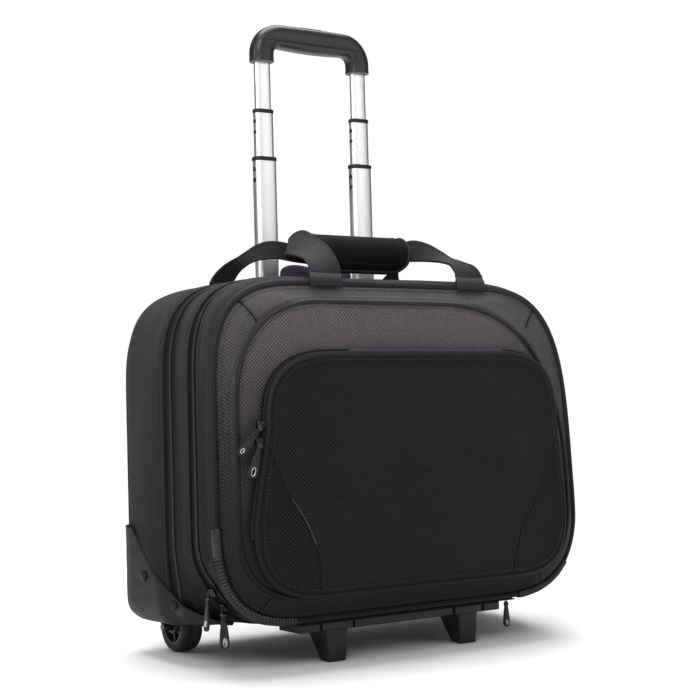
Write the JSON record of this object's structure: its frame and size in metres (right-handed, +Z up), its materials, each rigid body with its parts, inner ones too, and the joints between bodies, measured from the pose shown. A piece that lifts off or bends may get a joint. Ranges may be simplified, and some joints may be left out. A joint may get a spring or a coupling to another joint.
{
  "type": "rolling laptop case",
  "caption": "Soft-sided rolling laptop case with a telescopic trolley handle, two rear wheels, front feet, padded carry handle and zipped front pocket.",
  "frame": {"origin": "middle of the bounding box's underside, on the floor the case stands on", "axes": "+X to the case's right seen from the front, +Y from the front pocket to the back, +Z up"},
  "size_m": [0.4556, 0.238, 0.6456],
  "materials": {
    "body_fabric": "near-black polyester twill",
    "panel_fabric": "near-black basket weave polyester",
    "pocket_fabric": "fine near-black weave",
    "lining_fabric": "dull purple-grey lining",
    "piping_trim": "black woven piping",
    "webbing": "black ribbed webbing",
    "wrap_fabric": "black padded wrap",
    "zip_coil": "black nylon coil and tape",
    "zip_metal": "dark gunmetal slider",
    "pull_rubber": "moulded black pull",
    "bumper_rubber": "black ribbed rubber",
    "guard_plastic": "dark slate moulded plastic",
    "base_plastic": "dark slate moulded plastic",
    "grip_plastic": "dark grey moulded grip",
    "button_plastic": "dark grey button",
    "bush_plastic": "black moulded bush",
    "tube_aluminium": "satin bright anodised",
    "fixed_aluminium": "mill finish",
    "axle_steel": "turned steel",
    "rivet_steel": "blackened rivet",
    "tyre_rubber": "black solid tyre",
    "hub_plastic": "dark hub",
    "board_plastic": "black board"
  },
  "bodies": {
    "case": {"rear_shell": "body_fabric", "back_board": "board_plastic", "base_board": "base_plastic", "base_bar": "base_plastic", "corner_guard_left": "guard_plastic", "corner_guard_right": "guard_plastic", "guard_rivet_left_upper": "rivet_steel", "guard_rivet_left_lower": "rivet_steel", "guard_rivet_right_upper": "rivet_steel", "guard_rivet_right_lower": "rivet_steel", "axle_left": "axle_steel", "axle_right": "axle_steel", "fixed_tube_left": "fixed_aluminium", "fixed_tube_right": "fixed_aluminium", "handle_bezel": "guard_plastic", "rear_zip_coil": "zip_coil", "rear_zip_slider": "zip_metal", "rear_strap": "webbing"},
    "laptop_section": {"laptop_section_shell": "body_fabric", "laptop_divider": "lining_fabric", "front_zip_coil": "zip_coil", "front_zip_slider_a": "zip_metal", "front_zip_slider_b": "zip_metal", "front_zip_slider_c": "zip_metal"},
    "front_lid": {"front_lid_shell": "panel_fabric", "outer_piping": "piping_trim", "inner_piping": "piping_trim", "bumper_left": "bumper_rubber", "bumper_right": "bumper_rubber", "pocket_zip_coil": "zip_coil", "pocket_zip_slider_a": "zip_metal", "pocket_zip_slider_b": "zip_metal"},
    "pocket": {"pocket_shell": "pocket_fabric", "pocket_piping": "piping_trim"},
    "front_handle": {"front_strap": "webbing", "handle_wrap": "wrap_fabric"},
    "trolley_lower": {"lower_tube_left": "tube_aluminium", "lower_tube_right": "tube_aluminium", "lower_bush_left": "bush_plastic", "lower_bush_right": "bush_plastic"},
    "trolley_middle": {"middle_tube_left": "tube_aluminium", "middle_tube_right": "tube_aluminium", "middle_bush_left": "bush_plastic", "middle_bush_right": "bush_plastic"},
    "trolley_upper": {"upper_tube_left": "tube_aluminium", "upper_tube_right": "tube_aluminium", "grip_shell_lower": "grip_plastic", "grip_shell_upper": "grip_plastic"},
    "release": {"release_button": "button_plastic", "release_yoke": "bush_plastic"},
    "wheel_left": {"tyre_left": "tyre_rubber", "hub_left": "hub_plastic"},
    "wheel_right": {"tyre_right": "tyre_rubber", "hub_right": "hub_plastic"},
    "pull_front_a": {"front_zip_puller_a": "pull_rubber"},
    "pull_front_b": {"front_zip_puller_b": "pull_rubber"},
    "pull_front_c": {"front_zip_puller_c": "pull_rubber"},
    "pull_rear": {"rear_zip_puller": "pull_rubber"},
    "pull_pocket_a": {"pocket_zip_puller_a": "pull_rubber"},
    "pull_pocket_b": {"pocket_zip_puller_b": "pull_rubber"}
  },
  "joints": [
    {"name": "laptop_section_hinge", "type": "hinge", "parent": "case", "child": "laptop_section", "pos_m": [0, -0.08063, 0.04594], "axis": [1, 0, 0], "range_deg": [0, 18]},
    {"name": "front_lid_hinge", "type": "hinge", "parent": "laptop_section", "child": "front_lid", "pos_m": [0, -0.08063, 0.04594], "axis": [1, 0, 0], "range_deg": [0, 50]},
    {"name": "pocket_hinge", "type": "hinge", "parent": "front_lid", "child": "pocket", "pos_m": [0, -0.10143, 0.071], "axis": [1, 0, 0], "range_deg": [0, 25]},
    {"name": "front_handle_hinge", "type": "hinge", "parent": "front_lid", "child": "front_handle", "pos_m": [0, -0.06004, 0.37032], "axis": [1, 0, 0], "range_deg": [0, 90]},
    {"name": "trolley_lower_slide", "type": "slide", "parent": "case", "child": "trolley_lower", "axis": [0, 0.0492, 0.9988], "range_m": [-0.146, 0.07]},
    {"name": "trolley_middle_slide", "type": "slide", "parent": "trolley_lower", "child": "trolley_middle", "axis": [0, 0.0492, 0.9988], "range_m": [-0.044, 0.17]},
    {"name": "trolley_upper_slide", "type": "slide", "parent": "trolley_middle", "child": "trolley_upper", "axis": [0, 0.0492, 0.9988], "range_m": [-0.045, 0.17]},
    {"name": "release_slide", "type": "slide", "parent": "trolley_upper", "child": "release", "axis": [0, 0.0492, 0.9988], "range_m": [-0.003, 0], "stiffness_N_per_m": 900},
    {"name": "wheel_left_spin", "type": "hinge", "parent": "case", "child": "wheel_left", "pos_m": [-0.1785, 0.06351, 0.025], "axis": [1, 0, 0], "continuous": true},
    {"name": "wheel_right_spin", "type": "hinge", "parent": "case", "child": "wheel_right", "pos_m": [0.1785, 0.06351, 0.025], "axis": [1, 0, 0], "continuous": true},
    {"name": "pull_front_a_swing", "type": "hinge", "parent": "laptop_section", "child": "pull_front_a", "pos_m": [-0.22125, -0.04453, 0.06754], "axis": [0, 0.9988, -0.0492], "range_deg": [0, 70]},
    {"name": "pull_front_b_swing", "type": "hinge", "parent": "laptop_section", "child": "pull_front_b", "pos_m": [-0.20822, -0.04998, 0.05028], "axis": [1, 0, 0], "range_deg": [-60, 0]},
    {"name": "pull_front_c_swing", "type": "hinge", "parent": "laptop_section", "child": "pull_front_c", "pos_m": [0.151, -0.04627, 0.03213], "axis": [1, 0, 0], "range_deg": [-60, 0]},
    {"name": "pull_rear_swing", "type": "hinge", "parent": "case", "child": "pull_rear", "pos_m": [0.2276, 0.00355, 0.1289], "axis": [0, -0.9988, 0.0492], "range_deg": [0, 70]},
    {"name": "pull_pocket_a_swing", "type": "hinge", "parent": "front_lid", "child": "pull_pocket_a", "pos_m": [-0.184, -0.09789, 0.23002], "axis": [-0.7071, 0.0348, 0.7062], "range_deg": [0, 80]},
    {"name": "pull_pocket_b_swing", "type": "hinge", "parent": "front_lid", "child": "pull_pocket_b", "pos_m": [-0.186, -0.09863, 0.21504], "axis": [-0.9471, 0.0158, 0.3204], "range_deg": [0, 80]}
  ]
}
